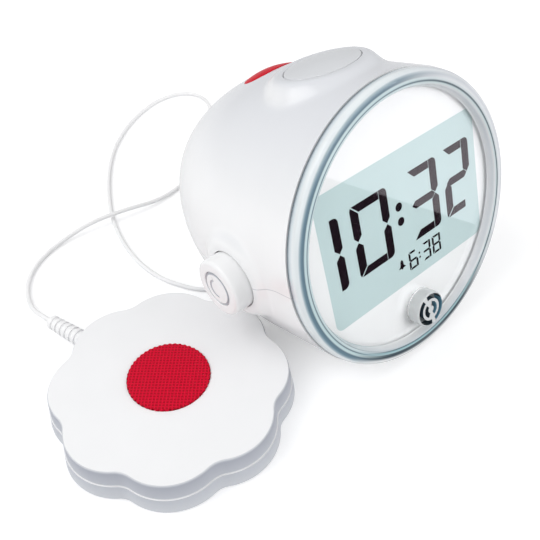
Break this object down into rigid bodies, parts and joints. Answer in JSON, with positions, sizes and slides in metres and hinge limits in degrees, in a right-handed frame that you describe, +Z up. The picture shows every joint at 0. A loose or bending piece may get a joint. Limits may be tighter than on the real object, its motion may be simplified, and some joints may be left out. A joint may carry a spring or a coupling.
{
  "type": "bed shaker alarm clock",
  "caption": "Round-faced digital alarm clock in a tapered drum body with top buttons and a side knob, and a lobed vibrating pad on a thin cord.",
  "frame": {"origin": "on the table, under the middle of the clock and shaker together, without their cord", "axes": "+Z up, +X to the clock's right as its face is seen, the face looks along -Y and leans back"},
  "size_m": [0.1967, 0.2327, 0.106],
  "materials": {
    "white_gloss": "glossy moulded white",
    "clear_acrylic": "polished clear acrylic",
    "dial_white": "matt white",
    "display_glass": "pale blue-green display glass",
    "light_guide": "frosted",
    "inner_plastic": "moulded, unpainted",
    "dark_plastic": "black moulded",
    "circuit_board": "green solder resist",
    "steel": "bright zinc plate",
    "pale_grey": "fine satin",
    "red_gloss": "glossy red",
    "aluminium": "turned",
    "cell_jacket": "plain sleeve",
    "foot_rubber": "matt rubber",
    "shaker_white": "fine satin white",
    "red_soft": "soft red pad",
    "brass": "turned",
    "cord_white": "soft white",
    "nickel": "nickel plate"
  },
  "bodies": {
    "clock": {"backup_batteries": "cell_jacket", "base_shell": "white_gloss", "battery_contacts": "steel", "board_parts": "dark_plastic", "board_screws": "steel", "button_board": "circuit_board", "clock_feet": "foot_rubber", "coil_tie": "cord_white", "cord_coil": "cord_white", "cord_lead": "cord_white", "cord_tail": "cord_white", "cover_screws": "steel", "dial_plate": "dial_white", "display_frame": "inner_plastic", "encoder_nut": "steel", "front_lens": "clear_acrylic", "housing_screws": "steel", "knob_encoder": "steel", "lcd_backlight": "light_guide", "lcd_panel": "display_glass", "main_board": "circuit_board", "motor_cradle": "foot_rubber", "plug_grip": "cord_white", "plug_pin": "nickel", "power_socket": "dark_plastic", "rear_board": "circuit_board", "rear_cover": "white_gloss", "rear_switches": "dark_plastic", "shaker_base": "shaker_white", "shaker_motor": "steel", "shaker_pad": "red_soft", "shaker_relief": "cord_white", "shaker_screws": "steel", "shaker_socket": "dark_plastic", "shaker_top": "shaker_white", "sounder": "dark_plastic", "sounder_grille": "clear_acrylic", "top_switches": "dark_plastic", "upper_shell": "white_gloss"},
    "snooze": {"snooze_button": "pale_grey"},
    "red_cap": {"red_button": "red_gloss"},
    "knob": {"side_knob": "white_gloss", "encoder_shaft": "aluminium"},
    "knob_centre": {"knob_button": "white_gloss"},
    "time_cap": {"time_button": "pale_grey"},
    "alarm_cap": {"alarm_button": "pale_grey"},
    "slider": {"volume_slider": "pale_grey"},
    "door": {"battery_door": "white_gloss"},
    "weight": {"eccentric_weight": "brass"}
  },
  "joints": [
    {"name": "snooze_press", "type": "slide", "parent": "clock", "child": "snooze", "axis": [0, -0.2672, -0.9636], "range_m": [0, 0.0015], "stiffness_N_per_m": 900},
    {"name": "red_press", "type": "slide", "parent": "clock", "child": "red_cap", "axis": [0, -0.5044, -0.8634], "range_m": [0, 0.0012], "stiffness_N_per_m": 900},
    {"name": "knob_turn", "type": "hinge", "parent": "clock", "child": "knob", "pos_m": [-0.01483, -0.01181, 0.04012], "axis": [1, 0, 0], "continuous": true},
    {"name": "knob_press", "type": "slide", "parent": "knob", "child": "knob_centre", "axis": [1, 0, 0], "range_m": [0, 0.0012], "stiffness_N_per_m": 700},
    {"name": "time_press", "type": "slide", "parent": "clock", "child": "time_cap", "axis": [0, -0.9636, 0.2672], "range_m": [0, 0.0008], "stiffness_N_per_m": 700},
    {"name": "alarm_press", "type": "slide", "parent": "clock", "child": "alarm_cap", "axis": [0, -0.9636, 0.2672], "range_m": [0, 0.0008], "stiffness_N_per_m": 700},
    {"name": "volume_slide", "type": "slide", "parent": "clock", "child": "slider", "axis": [1, 0, 0], "range_m": [-0.003, 0.003]},
    {"name": "door_slide", "type": "slide", "parent": "clock", "child": "door", "axis": [0, 1, 0], "range_m": [0, 0.009]},
    {"name": "weight_spin", "type": "hinge", "parent": "clock", "child": "weight", "pos_m": [-0.04943, -0.01348, 0.0071], "axis": [1, 0, 0], "continuous": true}
  ]
}
